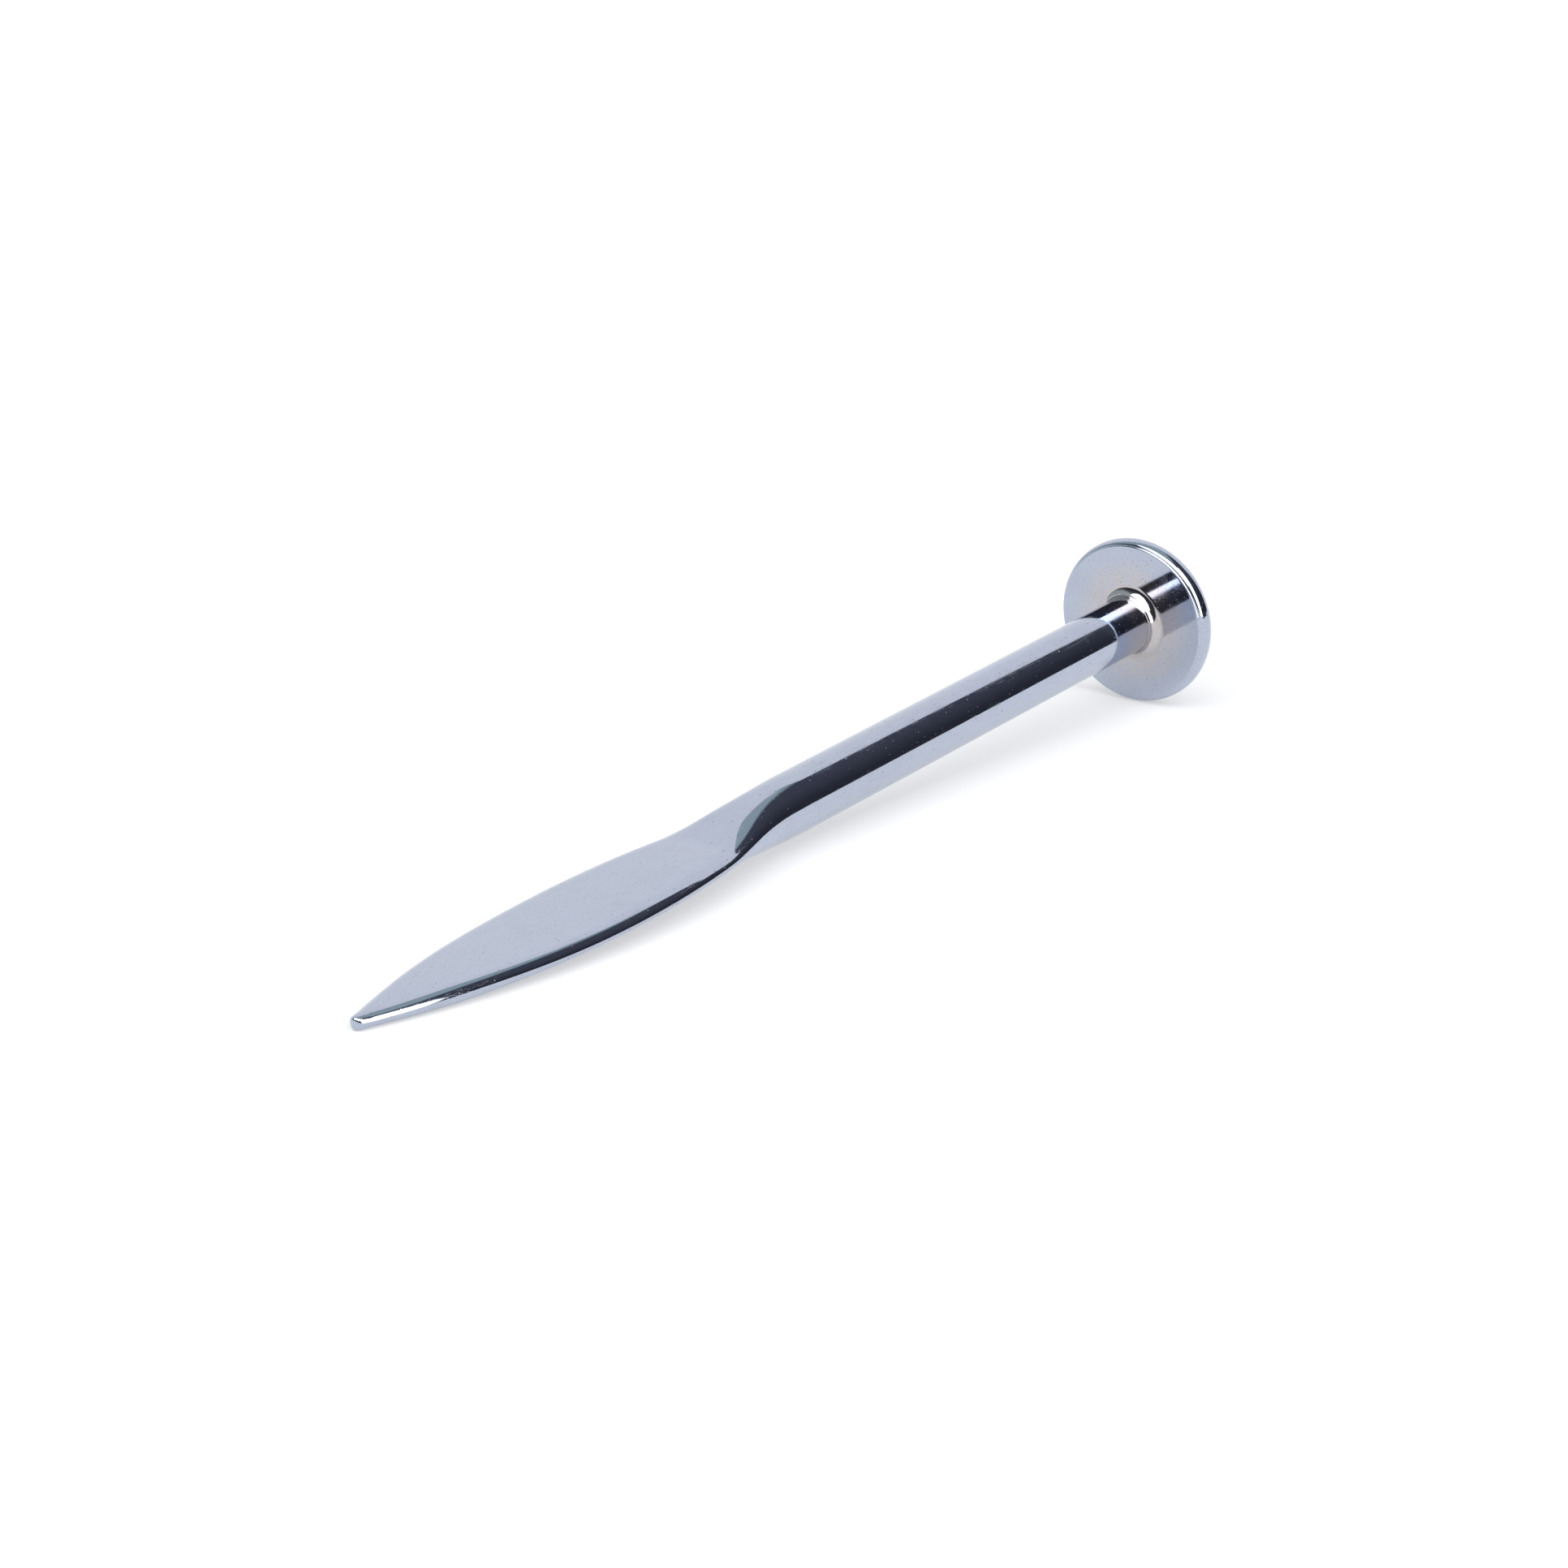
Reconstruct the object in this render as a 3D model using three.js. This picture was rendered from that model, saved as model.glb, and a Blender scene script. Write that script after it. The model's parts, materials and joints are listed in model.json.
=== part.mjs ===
// A pipe nail: a round rod with one end hammered out into a thin leaf blade, for scraping, and a
// turned disc brazed on the other end, for tamping.
//
// Millimetres, +Z up. The tool lies on a table, on the rim of its disc and the tip of its blade,
// with the disc towards +X. The origin is below the middle of its bounding box, on the table.
//
// The pieces are made in the tool's own frame: X runs along the rod, from the blade's tip towards
// the disc, with 0 at the disc's inner face, and Z is square to the flat of the blade.

import * as THREE from "three";

// ---------------------------------------------------------------------------- driving dimensions

const rodDiameter = 4.0;
const toolReach = 78.9; // from the disc's inner face to the tip of the blade

const headFaceDiameter = 11.3; // the flat inner face, where the rod comes out
const headDiameter = 11.86; // across the bulge of the rim
const headThickness = 1.85;
const headBulgeDepth = 0.75; // from the inner face back to the widest part of the rim
const tamperFaceDiameter = 10.0; // the flat outer face
const faceEdgeRadius = 0.12; // the small round between the inner face and the rim

const tenonDiameter = 2.4; // the turned-down end of the rod, inside the disc
const tenonLength = 1.0;
const filletRadius = 0.75; // the concave fillet of braze between the rod and the disc
const fit = 0.02; // clearance between pieces that touch

// Distances along the blade are from the disc's inner face.
const shoulderStart = 39.5; // the rod is round as far as this
const shoulderRadius = 24; // the long round that thins the rod down to the blade
const shoulderBlend = 0.6; // how softly that round runs into the flat of the blade
const leafMiddle = 58.8; // where the blade is widest
const leafWidth = 7.72;
const leafRadius = 60; // each side of the leaf is one arc
const leafBlend = 0.8; // how softly the arcs run into the sides of the rod
const bladeThicknesses = [
  [48, 1.16], // at the heel
  [61, 1.0], // behind the widest part
  [71.5, 1.2], // the swell before the tip
  [78.9, 0.9],
];
const heelEdgeReach = 1.2; // how far in from the outline the blade's rounded edge reaches
const heelEnd = 50.0;
const tipEdgeReach = 0.7;
const tipHalfWidth = 0.1; // of the small flat that ends the tip

const riseStart = 47.0; // where the blade starts to rise from the rod's axis
const bladeSlope = 0.3; // how far the middle of the blade has climbed by the tip, in a straight line
const tipLift = 0.34; // and how much further it curls up
const edgeDrop = 0.14; // how far the blade's outline lies below the middle of its thickness
const edgeDropComes = [44, 50]; // it comes in along the shoulder
const edgeDropGoes = [62, 72]; // and is gone before the tip

const sectionCorners = 32; // corners of one cross-section of the rod and blade
const bladeSteps = 64; // sections from the shoulder to where the tip rounds off
const tipSteps = 5;
const turnedSegments = 72;

// --------------------------------------------------------------------------------------- sections

// How far the middle of a section lies above the rod's axis.
function riseAt(distance) {
  const along = Math.max(0, (distance - riseStart) / (toolReach - riseStart));
  return bladeSlope * along + tipLift * along ** 4;
}

// How far the outline lies below the middle: nothing on the shoulder or by the tip.
function edgeDropAt(distance) {
  const pastShoulder = THREE.MathUtils.smoothstep(distance, ...edgeDropComes);
  const nearTip = THREE.MathUtils.smoothstep(distance, ...edgeDropGoes);
  return edgeDrop * pastShoulder * (1 - nearTip);
}

// The corners of one cross-section: a flat bar with two elliptical edges, which is a circle where
// all three sizes are alike. Its flats are exactly the given thickness apart.
function section({ distance, halfWidth, halfThickness, edgeReach }) {
  const cornerAngle = (2 * Math.PI) / sectionCorners;
  const outside = 1 / Math.cos(cornerAngle / 2);
  const drop = edgeDropAt(distance);
  const corners = [];
  for (let i = 0; i < sectionCorners; i++) {
    const angle = (i + 0.5) * cornerAngle - Math.PI / 2;
    const side = i < sectionCorners / 2 ? 1 : -1;
    const y = side * (halfWidth - edgeReach) + outside * edgeReach * Math.cos(angle);
    const depth = Math.sin(angle) > 0 ? halfThickness + drop : halfThickness - drop;
    const z = riseAt(distance) - drop + outside * depth * Math.sin(angle);
    corners.push(new THREE.Vector3(-distance, y, z));
  }
  return corners;
}

function roundSection(distance, diameter) {
  const radius = diameter / 2;
  return section({ distance, halfWidth: radius, halfThickness: radius, edgeReach: radius });
}

// Skins a row of sections with the same number of corners, and closes both ends with a fan.
function loft(sections) {
  const positions = [];
  const index = [];
  const corners = sections[0].length;
  for (const ring of sections) {
    for (const corner of ring) positions.push(corner.x, corner.y, corner.z);
  }
  for (let ring = 0; ring + 1 < sections.length; ring++) {
    for (let i = 0; i < corners; i++) {
      const next = (i + 1) % corners;
      const a = ring * corners + i;
      const b = ring * corners + next;
      index.push(a, a + corners, b, b, a + corners, b + corners);
    }
  }
  for (const end of [0, sections.length - 1]) {
    const centre = new THREE.Vector3();
    for (const corner of sections[end]) centre.addScaledVector(corner, 1 / corners);
    const centreIndex = positions.length / 3;
    positions.push(centre.x, centre.y, centre.z);
    for (let i = 0; i < corners; i++) {
      const a = end * corners + i;
      const b = end * corners + ((i + 1) % corners);
      if (end === 0) index.push(centreIndex, a, b);
      else index.push(centreIndex, b, a);
    }
  }
  const geometry = new THREE.BufferGeometry();
  geometry.setAttribute("position", new THREE.Float32BufferAttribute(positions, 3));
  geometry.setIndex(index);
  geometry.computeVertexNormals();
  return geometry;
}

// ----------------------------------------------------------------------------------- the rod piece

// How far an arc has fallen away from its tangent.
function arcFall(radius, along) {
  return radius - Math.sqrt(radius ** 2 - Math.min(along, radius) ** 2);
}

// The larger of two sizes, with the corner where they cross rounded off.
function roundedMax(a, b, blend) {
  const overlap = Math.max(0, blend - Math.abs(a - b));
  return Math.max(a, b) + overlap ** 2 / (4 * blend);
}

function halfWidthAt(distance) {
  const leaf = leafWidth / 2 - arcFall(leafRadius, distance - leafMiddle);
  return distance < leafMiddle ? roundedMax(leaf, rodDiameter / 2, leafBlend) : leaf;
}

// Half the thickness of the blade itself, smoothly from each given thickness to the next.
function flatHalfThicknessAt(distance) {
  let thickness = bladeThicknesses[0][1];
  for (let i = 1; i < bladeThicknesses.length; i++) {
    const [start, startThickness] = bladeThicknesses[i - 1];
    const [end, endThickness] = bladeThicknesses[i];
    const share = THREE.MathUtils.smoothstep(distance, start, end);
    thickness += (endThickness - startThickness) * share;
  }
  return thickness / 2;
}

// A section of the shoulder or the blade. Near the tip, where its two rounded edges meet, it thins
// down with its width.
function bladeSection(distance, halfWidth) {
  const rodRadius = rodDiameter / 2;
  const flat = flatHalfThicknessAt(distance);
  const shoulder = rodRadius - arcFall(shoulderRadius, distance - shoulderStart);
  const thick = roundedMax(shoulder, flat, shoulderBlend);
  const past = THREE.MathUtils.clamp((distance - heelEnd) / (toolReach - heelEnd), 0, 1);
  const bladeReach = THREE.MathUtils.lerp(heelEdgeReach, tipEdgeReach, past);
  const roundness = (thick - flat) / (rodRadius - flat);
  const fullReach = THREE.MathUtils.lerp(bladeReach, rodRadius, roundness);
  const edgeReach = Math.min(fullReach, halfWidth);
  const halfThickness = thick * Math.sqrt(1 - (1 - edgeReach / fullReach) ** 2);
  return { distance, halfWidth, halfThickness, edgeReach };
}

// The shoulder and the leaf, and then the tip, which is rounded by a circle that touches both arcs.
function bladeSections() {
  const leafLength = toolReach - leafMiddle;
  const leafCentreOffset = leafRadius - leafWidth / 2;
  const tipRadius =
    (leafRadius ** 2 - leafLength ** 2 - leafCentreOffset ** 2) / (2 * (leafRadius - leafLength));
  const tipCentre = toolReach - tipRadius;
  const touchAngle = Math.acos((leafLength - tipRadius) / (leafRadius - tipRadius));
  const tipStart = tipCentre + tipRadius * Math.cos(touchAngle);
  const sections = [];
  for (let step = 0; step <= bladeSteps; step++) {
    const distance = THREE.MathUtils.lerp(shoulderStart, tipStart, step / bladeSteps);
    sections.push(bladeSection(distance, halfWidthAt(distance)));
  }
  for (let step = tipSteps - 1; step >= 0; step--) {
    const angle = (touchAngle * step) / tipSteps;
    const halfWidth = Math.max(tipHalfWidth, tipRadius * Math.sin(angle));
    sections.push(bladeSection(tipCentre + tipRadius * Math.cos(angle), halfWidth));
  }
  return sections;
}

function bladeRod() {
  return loft([
    roundSection(-tenonLength, tenonDiameter),
    roundSection(fit, tenonDiameter),
    roundSection(fit, rodDiameter),
    ...bladeSections().map(section),
  ]);
}

// ------------------------------------------------------------------------------ the turned pieces

// Turns a closed profile, given as [distance along X, radius], about the rod's axis.
function turned(profile) {
  const points = profile.map(([along, radius]) => new THREE.Vector2(radius, along));
  return new THREE.LatheGeometry(points, turnedSegments).rotateZ(-Math.PI / 2);
}

// Points on a quarter of an ellipse about a centre, from one angle to another.
function arc(alongCentre, radiusCentre, alongSize, radiusSize, fromAngle, toAngle, steps) {
  const points = [];
  for (let step = 0; step <= steps; step++) {
    const angle = THREE.MathUtils.lerp(fromAngle, toAngle, step / steps);
    const along = alongCentre + alongSize * Math.sin(angle);
    points.push([along, radiusCentre + radiusSize * Math.cos(angle)]);
  }
  return points;
}

// The disc: a blind bore for the tenon, the flat inner face, a rim that swells towards the back,
// and a well rounded back edge that runs into the flat tamper face.
function headDisc() {
  const boreRadius = tenonDiameter / 2 + fit;
  const boreDepth = tenonLength + fit;
  const faceRadius = headFaceDiameter / 2;
  const bulge = (headDiameter - headFaceDiameter) / 2;
  const backRound = (headDiameter - tamperFaceDiameter) / 2;
  const rimStart = faceRadius - faceEdgeRadius;
  return turned([
    [boreDepth, 0],
    [boreDepth, boreRadius],
    [0, boreRadius],
    ...arc(faceEdgeRadius, rimStart, faceEdgeRadius, faceEdgeRadius, -Math.PI / 2, 0, 3),
    ...arc(headBulgeDepth, faceRadius, headBulgeDepth - faceEdgeRadius, bulge, -Math.PI / 2, 0, 6).slice(1),
    ...arc(
      headBulgeDepth,
      tamperFaceDiameter / 2,
      headThickness - headBulgeDepth,
      backRound,
      0,
      Math.PI / 2,
      8,
    ).slice(1),
    [headThickness, 0],
  ]);
}

// The ring of braze in the corner: the corner less a circle that touches the rod and the disc. It
// stops short at both ends, where it would thin out to nothing.
function brazeFillet() {
  const inner = rodDiameter / 2 + fit;
  const face = -fit;
  const centre = rodDiameter / 2 + filletRadius;
  const thinEnd = Math.acos(1 - (2 * fit) / filletRadius);
  const hollow = arc(-filletRadius, centre, filletRadius, -filletRadius, thinEnd, Math.PI / 2 - thinEnd, 10);
  const [start, startRadius] = hollow[0];
  const [, endRadius] = hollow.at(-1);
  return turned([
    [face, inner],
    [start, inner],
    [start, startRadius],
    ...hollow.slice(1),
    [face, endRadius],
    [face, inner],
  ]);
}

// ---------------------------------------------------------------------------------------- assembly

const chrome = new THREE.MeshStandardMaterial({ color: 0xc9ccd2, metalness: 1, roughness: 0.12 });
const warmChrome = new THREE.MeshStandardMaterial({ color: 0xbdb6ac, metalness: 1, roughness: 0.2 });

function piece(name, geometry, material) {
  const mesh = new THREE.Mesh(geometry, material);
  mesh.name = name;
  return mesh;
}

const tool = new THREE.Group();
tool.add(piece("blade_rod", bladeRod(), chrome));
tool.add(piece("head_disc", headDisc(), chrome));
tool.add(piece("braze_fillet", brazeFillet(), warmChrome));

// The tool leans so that the rim of the disc and the blade touch the table together. The first
// section to reach the table is the one that needs the smallest lean.
const leans = bladeSections().map(({ distance, halfThickness }) => {
  const height = headDiameter / 2 + riseAt(distance) - halfThickness;
  return Math.atan2(height, distance + headBulgeDepth);
});
const lean = Math.min(...leans);
tool.rotation.y = -lean;

const part = new THREE.Group();
part.add(tool);
const box = new THREE.Box3().setFromObject(part, true);
tool.position.set(-(box.min.x + box.max.x) / 2, -(box.min.y + box.max.y) / 2, -box.min.z);

export default part;
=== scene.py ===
"""The looks of a pipe nail: a chromed rod with a leaf blade at one end and a tamper disc at the other.

Every visible piece is a fine mesh made in the tool's own frame, in millimetres, and then laid where
the CAD lays the tool. In that frame X runs along the rod towards the disc, with 0 at the disc's inner
face, Y runs across the blade, and Z is square to its flat.
"""
import json
import math

import bpy
import numpy as np
from mathutils import Matrix, Vector


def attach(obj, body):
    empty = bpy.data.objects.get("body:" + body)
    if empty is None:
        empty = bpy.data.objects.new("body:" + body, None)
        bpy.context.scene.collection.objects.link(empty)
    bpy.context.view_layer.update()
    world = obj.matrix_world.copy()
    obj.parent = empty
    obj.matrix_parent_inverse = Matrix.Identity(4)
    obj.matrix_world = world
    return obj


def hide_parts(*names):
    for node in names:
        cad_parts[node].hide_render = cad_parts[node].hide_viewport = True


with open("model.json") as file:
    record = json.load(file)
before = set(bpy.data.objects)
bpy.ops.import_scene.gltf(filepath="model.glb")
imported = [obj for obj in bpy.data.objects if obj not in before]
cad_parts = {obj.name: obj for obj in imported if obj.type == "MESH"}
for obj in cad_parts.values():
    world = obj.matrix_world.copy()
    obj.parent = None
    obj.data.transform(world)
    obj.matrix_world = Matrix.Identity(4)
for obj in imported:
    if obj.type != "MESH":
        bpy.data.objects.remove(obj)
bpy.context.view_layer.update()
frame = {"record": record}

MM = 0.001

# ------------------------------------------------------------------------------- sizes, in mm

ROD_RADIUS = 2.0
TOOL_REACH = 78.9        # from the disc's inner face to the tip

HEAD_FACE_RADIUS = 5.65
HEAD_RADIUS = 5.925
HEAD_THICKNESS = 1.85
HEAD_BULGE_DEPTH = 0.75
TAMPER_FACE_RADIUS = 4.96
FACE_EDGE_RADIUS = 0.12
FILLET_RADIUS = 0.75
HIDDEN = 0.02            # how far a hidden edge of the fillet runs into the rod or the disc

# Distances along the blade are from the disc's inner face.
SHOULDER_START = 39.5    # the rod is round as far as this
SHOULDER_RADIUS = 24     # the long round that thins the rod down to the blade
SHOULDER_BLEND = 0.6     # how softly that round runs into the flat of the blade
LEAF_MIDDLE = 58.8       # where the blade is widest
LEAF_HALF_WIDTH = 3.86
LEAF_RADIUS = 60         # each side of the leaf is one arc
LEAF_BLEND = 0.8         # how softly the arcs run into the sides of the rod
# thickness at the heel, behind the widest part, at the swell before the tip, and at the tip
BLADE_THICKNESSES = [(48, 1.16), (61, 1.0), (71.5, 1.2), (78.9, 0.9)]
HEEL_EDGE_REACH = 1.2    # how far in from the outline the blade's rounded edge reaches
HEEL_END = 50
TIP_EDGE_REACH = 0.7
RISE_START = 47.0
BLADE_SLOPE = 0.3        # how far the blade's middle line climbs by the tip, in a straight line
TIP_LIFT = 0.34          # and how much further it curls up
EDGE_DROP = 0.14         # how far the blade's outline lies below the middle of its thickness
EDGE_DROP_COMES = (44, 50)   # it comes in along the shoulder
EDGE_DROP_GOES = (62, 72)    # and is gone before the tip

BACKDROP_BEARING = 37.5  # degrees anticlockwise from +X, behind the tool as the camera sees it
SOFTBOX = 4.4            # brightness of the softbox, where the white backdrop is 1

# ------------------------------------------------------------------------------- placing pieces

def tool_frame():
    """The matrix that takes the tool's own frame, in mm, to the row frame, in metres."""
    mount = frame["record"]["mounts"][0]
    along = Vector(mount["axis"]).normalized()
    inner_face = Vector(mount["pos_m"]) - along * HEAD_THICKNESS * MM
    across = Vector((0, 1, 0))
    square = along.cross(across)
    turn = Matrix((along, across, square)).transposed().to_4x4()
    return Matrix.Translation(inner_face) @ turn @ Matrix.Scale(MM, 4)


TOOL = tool_frame()


def add_mesh(name, points, faces, material, node):
    """A smooth mesh on the tool, which stands for one CAD node."""
    mesh = bpy.data.meshes.new(name)
    mesh.from_pydata([TOOL @ Vector(p) for p in points], [], faces)
    mesh.update()
    mesh.polygons.foreach_set("use_smooth", [True] * len(mesh.polygons))
    mesh.materials.append(material)
    piece = bpy.data.objects.new(name, mesh)
    bpy.context.scene.collection.objects.link(piece)
    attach(piece, "root")
    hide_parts(node)
    return piece


def skin(rings, close_start=True, close_end=True):
    """Quads between rings with the same number of points, with a fan at each closed end."""
    count = len(rings[0])
    points = [p for ring in rings for p in ring]
    faces = []
    for r in range(len(rings) - 1):
        for i in range(count):
            a, b = r * count + i, r * count + (i + 1) % count
            faces.append((a, b, b + count, a + count))
    for closed, ring_index in ((close_start, 0), (close_end, len(rings) - 1)):
        if not closed:
            continue
        centre = tuple(sum(axis) / count for axis in zip(*rings[ring_index]))
        points.append(centre)
        for i in range(count):
            a, b = ring_index * count + i, ring_index * count + (i + 1) % count
            faces.append((len(points) - 1, b, a) if ring_index == 0 else (len(points) - 1, a, b))
    return points, faces


# ------------------------------------------------------------------------------- the rod and blade

def rise_at(distance):
    along = max(0, (distance - RISE_START) / (TOOL_REACH - RISE_START))
    return BLADE_SLOPE * along + TIP_LIFT * along ** 4


def smoothstep(value, start, end):
    t = min(1, max(0, (value - start) / (end - start)))
    return t * t * (3 - 2 * t)


def arc_fall(radius, along):
    """How far an arc has fallen away from its tangent."""
    return radius - math.sqrt(radius ** 2 - min(along, radius) ** 2)


def rounded_max(a, b, blend):
    """The larger of two sizes, with the corner where they cross rounded off."""
    overlap = max(0, blend - abs(a - b))
    return max(a, b) + overlap ** 2 / (4 * blend)


def half_width_at(distance):
    leaf = LEAF_HALF_WIDTH - arc_fall(LEAF_RADIUS, distance - LEAF_MIDDLE)
    return rounded_max(leaf, ROD_RADIUS, LEAF_BLEND) if distance < LEAF_MIDDLE else leaf


def flat_half_thickness_at(distance):
    """Half the thickness of the blade itself, smoothly from each given thickness to the next."""
    thickness = BLADE_THICKNESSES[0][1]
    for (start, before), (end, after) in zip(BLADE_THICKNESSES, BLADE_THICKNESSES[1:]):
        thickness += (after - before) * smoothstep(distance, start, end)
    return thickness / 2


def section(distance, half_width, corners=160):
    """A ring round the rod, the shoulder or the blade: a flat bar with elliptical edges.

    Near the tip, where its two rounded edges meet, it thins down with its width.
    """
    flat = flat_half_thickness_at(distance)
    shoulder = ROD_RADIUS - arc_fall(SHOULDER_RADIUS, max(0, distance - SHOULDER_START))
    thick = rounded_max(shoulder, flat, SHOULDER_BLEND)
    past_heel = min(1, max(0, (distance - HEEL_END) / (TOOL_REACH - HEEL_END)))
    blade_reach = HEEL_EDGE_REACH + (TIP_EDGE_REACH - HEEL_EDGE_REACH) * past_heel
    roundness = (thick - flat) / (ROD_RADIUS - flat)
    full_reach = blade_reach + (ROD_RADIUS - blade_reach) * roundness
    reach = min(full_reach, half_width)
    half_thickness = thick * math.sqrt(1 - (1 - reach / full_reach) ** 2)
    drop = EDGE_DROP * smoothstep(distance, *EDGE_DROP_COMES)
    drop *= 1 - smoothstep(distance, *EDGE_DROP_GOES)
    middle = rise_at(distance) - drop
    ring = []
    for i in range(corners):
        angle = (i + 0.5) * 2 * math.pi / corners - math.pi / 2
        side = 1 if i < corners / 2 else -1
        y = side * (half_width - reach) + reach * math.cos(angle)
        height = math.sin(angle)
        depth = half_thickness + drop if height > 0 else half_thickness - drop
        ring.append((-distance, y, middle + depth * height))
    return ring


def blade_rod(material):
    """The rod, the shoulder and the leaf, with a tip rounded by a circle that touches both arcs."""
    length = TOOL_REACH - LEAF_MIDDLE
    offset = LEAF_RADIUS - LEAF_HALF_WIDTH
    tip_radius = (LEAF_RADIUS ** 2 - length ** 2 - offset ** 2) / (2 * (LEAF_RADIUS - length))
    tip_centre = TOOL_REACH - tip_radius
    touch_angle = math.acos((length - tip_radius) / (LEAF_RADIUS - tip_radius))
    tip_start = tip_centre + tip_radius * math.cos(touch_angle)
    rings = [section(d, ROD_RADIUS) for d in np.linspace(0, SHOULDER_START, 80, endpoint=False)]
    rings += [section(d, half_width_at(d)) for d in np.linspace(SHOULDER_START, tip_start, 340)]
    for angle in np.linspace(touch_angle, 0, 24)[1:]:
        half_width = max(0.004, tip_radius * math.sin(angle))
        rings.append(section(tip_centre + tip_radius * math.cos(angle), half_width))
    points, faces = skin(rings)
    return add_mesh("rod_and_blade", points, faces, material, "blade_rod")


# ------------------------------------------------------------------------------- the turned pieces

def arc(along, radius, along_size, radius_size, start, end, steps):
    """Points on an ellipse about a centre, as [distance along X, radius]."""
    angles = np.linspace(start, end, steps + 1)
    return [(along + along_size * math.sin(a), radius + radius_size * math.cos(a)) for a in angles]


def turn(profile, segments=256):
    """Rings about the rod's axis, from a profile of [distance along X, radius]."""
    rings = []
    for along, radius in profile:
        ring = []
        for i in range(segments):
            angle = -2 * math.pi * i / segments
            ring.append((along, radius * math.sin(angle), radius * math.cos(angle)))
        rings.append(ring)
    return rings


def head_disc(material):
    quarter = math.pi / 2
    rim_start = HEAD_FACE_RADIUS - FACE_EDGE_RADIUS
    profile = [(0, 1.0), (0, 2.5), (0, 4.0), (0, 5.2), (0, 5.4), (0, 5.48)]
    profile += arc(FACE_EDGE_RADIUS, rim_start, FACE_EDGE_RADIUS, FACE_EDGE_RADIUS, -quarter, 0, 8)
    profile += arc(HEAD_BULGE_DEPTH, HEAD_FACE_RADIUS, HEAD_BULGE_DEPTH - FACE_EDGE_RADIUS,
                   HEAD_RADIUS - HEAD_FACE_RADIUS, -quarter, 0, 16)[1:]
    profile += arc(HEAD_BULGE_DEPTH, TAMPER_FACE_RADIUS, HEAD_THICKNESS - HEAD_BULGE_DEPTH,
                   HEAD_RADIUS - TAMPER_FACE_RADIUS, 0, quarter, 20)[1:]
    profile += [(HEAD_THICKNESS, r) for r in (4.9, 4.7, 4.0, 2.5, 0.5)]
    points, faces = skin(turn(profile))
    return add_mesh("tamper_disc", points, faces, material, "head_disc")


def braze_fillet(material):
    quarter = math.pi / 2
    centre = ROD_RADIUS + FILLET_RADIUS
    hollow = arc(-FILLET_RADIUS, centre, FILLET_RADIUS, -FILLET_RADIUS, 0.05, quarter, 30)
    inside = ROD_RADIUS - HIDDEN
    # it dips into the disc's face at so small an angle that no edge shows
    dip = [(0.002, centre + 0.06), (0.01, centre + 0.07)]
    profile = [(0.01, inside), (hollow[0][0], inside)] + hollow + dip
    rings = turn(profile)
    points, faces = skin(rings + rings[:1], close_start=False, close_end=False)
    return add_mesh("root_fillet", points, faces, material, "braze_fillet")


# ------------------------------------------------------------------------------- node helpers

def link(tree, value, socket):
    """Puts a number, a colour or another node's output into a socket."""
    if isinstance(value, bpy.types.NodeSocket):
        tree.links.new(value, socket)
    elif isinstance(value, tuple) and len(socket.default_value) == 4:
        socket.default_value = (*value, 1)
    else:
        socket.default_value = value


def math_node(tree, operation, *values):
    node = tree.nodes.new("ShaderNodeMath")
    node.operation = operation
    for socket, value in zip(node.inputs, values):
        link(tree, value, socket)
    return node.outputs[0]


def ramp(tree, value, low, high):
    """0 below low, 1 above high, smooth between. It falls instead where low is above high."""
    node = tree.nodes.new("ShaderNodeMapRange")
    node.interpolation_type = "SMOOTHSTEP"
    link(tree, value, node.inputs["Value"])
    node.inputs["From Min"].default_value = min(low, high)
    node.inputs["From Max"].default_value = max(low, high)
    node.inputs["To Min"].default_value = 0 if low < high else 1
    node.inputs["To Max"].default_value = 1 if low < high else 0
    return node.outputs["Result"]


def times(tree, first, second):
    return math_node(tree, "MULTIPLY", first, second)


def mix_colour(tree, factor, first, second):
    node = tree.nodes.new("ShaderNodeMix")
    node.data_type = "RGBA"
    link(tree, factor, node.inputs["Factor"])
    link(tree, first, node.inputs[6])
    link(tree, second, node.inputs[7])
    return node.outputs[2]


def dot(tree, vector, direction):
    node = tree.nodes.new("ShaderNodeVectorMath")
    node.operation = "DOT_PRODUCT"
    tree.links.new(vector, node.inputs[0])
    node.inputs[1].default_value = direction
    return node.outputs["Value"]


def stretched(tree, vector, scale, turn=(0, 0, 0), shift=(0, 0, 0)):
    node = tree.nodes.new("ShaderNodeMapping")
    tree.links.new(vector, node.inputs["Vector"])
    node.inputs["Scale"].default_value = scale
    node.inputs["Rotation"].default_value = [math.radians(a) for a in turn]
    node.inputs["Location"].default_value = shift
    return node.outputs[0]


def noise(tree, vector, scale, detail=2.0, roughness=0.5):
    node = tree.nodes.new("ShaderNodeTexNoise")
    tree.links.new(vector, node.inputs["Vector"])
    node.inputs["Scale"].default_value = scale
    node.inputs["Detail"].default_value = detail
    node.inputs["Roughness"].default_value = roughness
    return node.outputs[0]


def specks(tree, vector, scale, share, size):
    """Spots in some of the cells of a Voronoi pattern, each of its own size: 1 inside a spot."""
    node = tree.nodes.new("ShaderNodeTexVoronoi")
    tree.links.new(vector, node.inputs["Vector"])
    node.inputs["Scale"].default_value = scale
    split = tree.nodes.new("ShaderNodeSeparateColor")
    tree.links.new(node.outputs["Color"], split.inputs[0])
    chosen = ramp(tree, split.outputs[0], share, share - 0.02)
    reach = math_node(tree, "MULTIPLY_ADD", split.outputs[1], size, size * 0.5)
    inside = math_node(tree, "DIVIDE", node.outputs["Distance"], reach)
    return times(tree, chosen, ramp(tree, inside, 1.0, 0.4))


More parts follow.
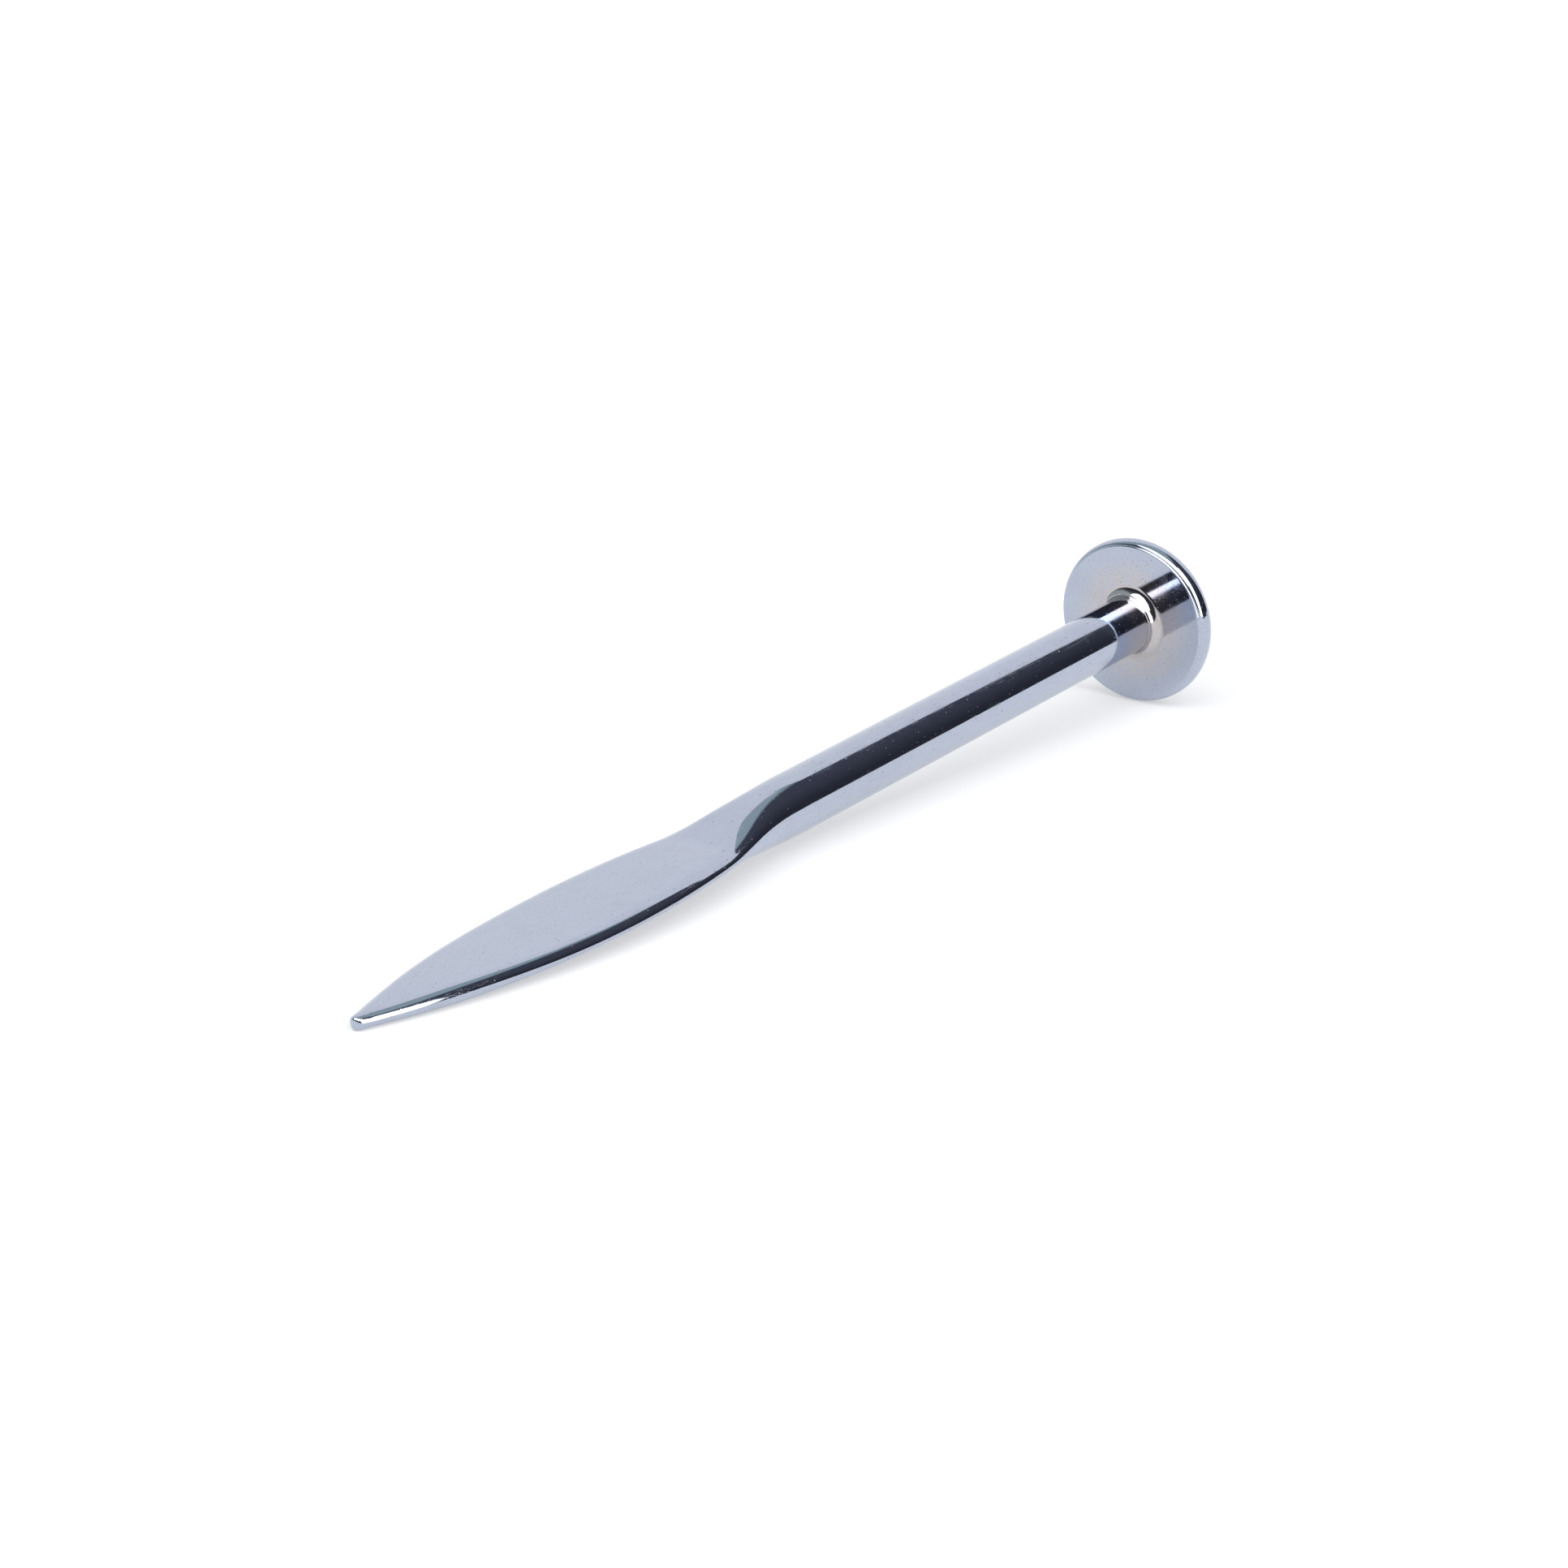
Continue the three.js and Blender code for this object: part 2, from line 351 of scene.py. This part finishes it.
def bump(tree, height, depth, normal=None):
    """Raises the surface by depth, in metres, where height is 1."""
    node = tree.nodes.new("ShaderNodeBump")
    node.inputs["Distance"].default_value = depth
    tree.links.new(height, node.inputs["Height"])
    if normal is not None:
        tree.links.new(normal, node.inputs["Normal"])
    return node.outputs[0]


def tool_millimetres(tree):
    """The place on the tool, in the tool's own frame and in millimetres."""
    place = tree.nodes.new("ShaderNodeTexCoord")
    node = tree.nodes.new("ShaderNodeMapping")
    tree.links.new(place.outputs["Object"], node.inputs["Vector"])
    location, rotation, scale = TOOL.inverted().decompose()
    node.inputs["Location"].default_value = location
    node.inputs["Rotation"].default_value = rotation.to_euler()
    node.inputs["Scale"].default_value = scale
    return node.outputs[0]


# ------------------------------------------------------------------------------- materials

def hairlines(tree, place, angle, seed_shift, width):
    """Thin straight scratches at an angle to the rod, in scattered patches."""
    drawn_out = stretched(tree, place, (0.09, 5.0, 5.0), (0, 0, angle))
    moved = stretched(tree, drawn_out, (1, 1, 1), shift=(seed_shift, seed_shift * 1.7, 0))
    grain = noise(tree, moved, 1.0, detail=1.0)
    off_middle = math_node(tree, "ABSOLUTE", math_node(tree, "SUBTRACT", grain, 0.5))
    line = ramp(tree, off_middle, width, width * 0.3)
    turned = stretched(tree, place, (0.5, 0.5, 0.5), (0, 0, angle))
    patches = ramp(tree, noise(tree, turned, 1.0), 0.52, 0.6)
    return times(tree, line, patches)


def chrome(name, colour, warm_colour, smooth_roughness, wave_scale, wave_depth, warm_from, warm_to):
    """Worn decorative chrome: drawn streaks, hairline scratches, pin pits and smudges.

    The tint is plain at warm_from from the middle of the disc's inner face and warm at warm_to.
    """
    material = bpy.data.materials.new(name)
    material.use_nodes = True
    tree = material.node_tree
    shader = tree.nodes["Principled BSDF"]
    place = tool_millimetres(tree)

    waves = noise(tree, place, wave_scale, detail=1.0)
    streaks = noise(tree, stretched(tree, place, (0.8, 6.0, 6.0)), 1.0, detail=3.0, roughness=0.6)
    pits = specks(tree, stretched(tree, place, (0.5, 1.0, 1.0)), 4.0, share=0.55, size=0.17)
    grains = specks(tree, place, 7.0, share=0.5, size=0.26)
    scratches = hairlines(tree, place, 8, 3.0, 0.006)
    for angle, shift in ((-24, 11.0), (66, 23.0)):
        scratches = math_node(tree, "MAXIMUM", scratches, hairlines(tree, place, angle, shift, 0.005))
    smudges = ramp(tree, noise(tree, place, 0.35, detail=5.0, roughness=0.65), 0.45, 0.7)

    reach = tree.nodes.new("ShaderNodeVectorMath")
    reach.operation = "LENGTH"
    tree.links.new(place, reach.inputs[0])
    inner_side = ramp(tree, dot(tree, place, (1, 0, 0)), 0.9, 0.3)
    near_root = times(tree, ramp(tree, reach.outputs["Value"], warm_from, warm_to), inner_side)
    stains = ramp(tree, noise(tree, stretched(tree, place, (0.7, 1.5, 1.5)), 1.0, detail=4.0), 0.4, 0.62)
    tint = times(tree, near_root, math_node(tree, "MULTIPLY_ADD", stains, 0.4, 0.6))
    surface = mix_colour(tree, tint, colour, warm_colour)
    surface = mix_colour(tree, times(tree, smudges, 0.2), surface, tuple(0.8 * c for c in colour))
    drawn = times(tree, ramp(tree, streaks, 0.35, 0.85), 0.3)
    surface = mix_colour(tree, drawn, surface, tuple(0.78 * c for c in colour))
    dirt = math_node(tree, "MAXIMUM", times(tree, pits, 0.5), times(tree, grains, 0.3))
    surface = mix_colour(tree, dirt, surface, (0.16, 0.15, 0.16))
    tree.links.new(surface, shader.inputs["Base Color"])

    marks = math_node(tree, "MAXIMUM", pits, times(tree, scratches, 0.35))
    marks = math_node(tree, "MAXIMUM", marks, times(tree, grains, 0.6))
    roughness = math_node(tree, "MULTIPLY_ADD", smudges, 0.05, smooth_roughness)
    roughness = math_node(tree, "MULTIPLY_ADD", marks, 0.3, roughness)
    roughness = math_node(tree, "MULTIPLY_ADD", tint, 0.05, roughness)
    tree.links.new(roughness, shader.inputs["Roughness"])
    shader.inputs["Metallic"].default_value = 1

    normal = bump(tree, waves, wave_depth)
    normal = bump(tree, streaks, 0.2e-6, normal)
    normal = bump(tree, math_node(tree, "SUBTRACT", 1.0, scratches), 0.25e-6, normal)
    normal = bump(tree, math_node(tree, "SUBTRACT", 1.0, pits), 2.5e-6, normal)
    tree.links.new(normal, shader.inputs["Normal"])
    return material


# ------------------------------------------------------------------------------- the stage

def panel(tree, direction, bearing, height, half_width, half_height, soft):
    """1 inside a flat rectangle that faces the tool from the given side, at unit distance."""
    b, h = math.radians(bearing), math.radians(height)
    ahead = (math.cos(h) * math.cos(b), math.cos(h) * math.sin(b), math.sin(h))
    aside = (-math.sin(b), math.cos(b), 0)
    up = tuple(Vector(ahead).cross(Vector(aside)))
    depth = dot(tree, direction, ahead)
    inside = ramp(tree, depth, 0.0, 0.02)
    safe_depth = math_node(tree, "MAXIMUM", depth, 0.01)
    for axis, half in ((aside, half_width), (up, half_height)):
        offset = math_node(tree, "DIVIDE", dot(tree, direction, axis), safe_depth)
        distance = math_node(tree, "ABSOLUTE", offset)
        inside = times(tree, inside, ramp(tree, distance, half + soft, half - soft))
    return inside


def surroundings():
    """The studio that the chrome mirrors, and that lights it.

    It has a white backdrop, a lit ceiling, a softbox, a tall window and a dark room.
    """
    world = bpy.data.worlds.new("studio")
    bpy.context.scene.world = world
    world.use_nodes = True
    tree = world.node_tree
    tree.nodes.clear()
    place = tree.nodes.new("ShaderNodeTexCoord")
    direction = place.outputs["Generated"]
    split = tree.nodes.new("ShaderNodeSeparateXYZ")
    tree.links.new(direction, split.inputs[0])
    height = math_node(tree, "DEGREES", math_node(tree, "ARCSINE", split.outputs[2]))
    room = mix_colour(tree, ramp(tree, height, 5.0, 50.0), (0.034, 0.036, 0.048), (0.08, 0.085, 0.11))
    b = math.radians(BACKDROP_BEARING)
    # the lit ceiling lies above the backdrop, up to a slanting edge at its right
    inside_edge = dot(tree, direction, (-math.sin(b), math.cos(b), 0.5))
    towards_back = dot(tree, direction, (math.cos(b), math.sin(b), 0))
    ceiling = times(tree, ramp(tree, inside_edge, -0.06, 0.1), ramp(tree, towards_back, -0.25, 0.05))
    colour = mix_colour(tree, ceiling, room, (0.45, 0.55, 0.57))
    backdrop = panel(tree, direction, BACKDROP_BEARING, 0, 1.6, 1.35, 0.015)
    colour = mix_colour(tree, backdrop, colour, (1.0, 1.01, 1.04))
    softbox = panel(tree, direction, -160, 58, 0.6, 0.47, 0.03)
    colour = mix_colour(tree, softbox, colour, (SOFTBOX, SOFTBOX, SOFTBOX))
    window = panel(tree, direction, -93, 32, 0.31, 0.6, 0.02)
    colour = mix_colour(tree, window, colour, (SOFTBOX, SOFTBOX, SOFTBOX))
    background = tree.nodes.new("ShaderNodeBackground")
    output = tree.nodes.new("ShaderNodeOutputWorld")
    tree.links.new(colour, background.inputs["Color"])
    tree.links.new(background.outputs[0], output.inputs[0])


def floor():
    """The table: a plain pale disc, in metres, that glows a little so that it stays near white."""
    mesh = bpy.data.meshes.new("table")
    corners = 96
    radius = 1.5
    angles = [2 * math.pi * i / corners for i in range(corners)]
    points = [(radius * math.cos(a), radius * math.sin(a), 0) for a in angles]
    mesh.from_pydata(points, [], [tuple(range(corners))])
    table = bpy.data.objects.new("table", mesh)
    bpy.context.scene.collection.objects.link(table)
    material = bpy.data.materials.new("paper")
    material.use_nodes = True
    shader = material.node_tree.nodes["Principled BSDF"]
    shader.inputs["Base Color"].default_value = (0.36, 0.36, 0.36, 1)
    shader.inputs["Roughness"].default_value = 0.9
    shader.inputs["Emission Color"].default_value = (0.97, 0.98, 1, 1)
    shader.inputs["Emission Strength"].default_value = 0.48
    shader.inputs["Specular IOR Level"].default_value = 0.1
    mesh.materials.append(material)


def camera():
    """The photograph's view: from beside the blade's tip, a little above the table."""
    aim = Vector((-1.2, 0.4, 4.06)) * MM
    bearing, height, distance = math.radians(-52.45), math.radians(18.08), 232.6 * MM
    level = math.cos(height)
    view = Vector((-math.sin(bearing) * level, math.cos(bearing) * level, -math.sin(height)))
    data = bpy.data.cameras.new("camera")
    data.sensor_width = 36
    data.lens = 85.45
    data.clip_start = 0.01
    cam = bpy.data.objects.new("camera", data)
    bpy.context.scene.collection.objects.link(cam)
    cam.location = aim - view * distance
    cam.rotation_euler = view.to_track_quat("-Z", "Y").to_euler()
    bpy.context.scene.camera = cam


# ------------------------------------------------------------------------------- the scene

plate = chrome("chrome_plate", colour=(0.46, 0.5, 0.6), warm_colour=(0.53, 0.505, 0.52),
               smooth_roughness=0.045, wave_scale=0.45, wave_depth=1.2e-6, warm_from=5.2, warm_to=3)
warm_plate = chrome("warm_plate", colour=(0.5, 0.5, 0.55), warm_colour=(0.53, 0.49, 0.48),
                    smooth_roughness=0.06, wave_scale=0.9, wave_depth=30e-6, warm_from=6, warm_to=2)
blade_rod(plate)
head_disc(plate)
braze_fillet(warm_plate)
surroundings()
floor()
camera()
bpy.context.scene.view_settings.view_transform = "Standard"
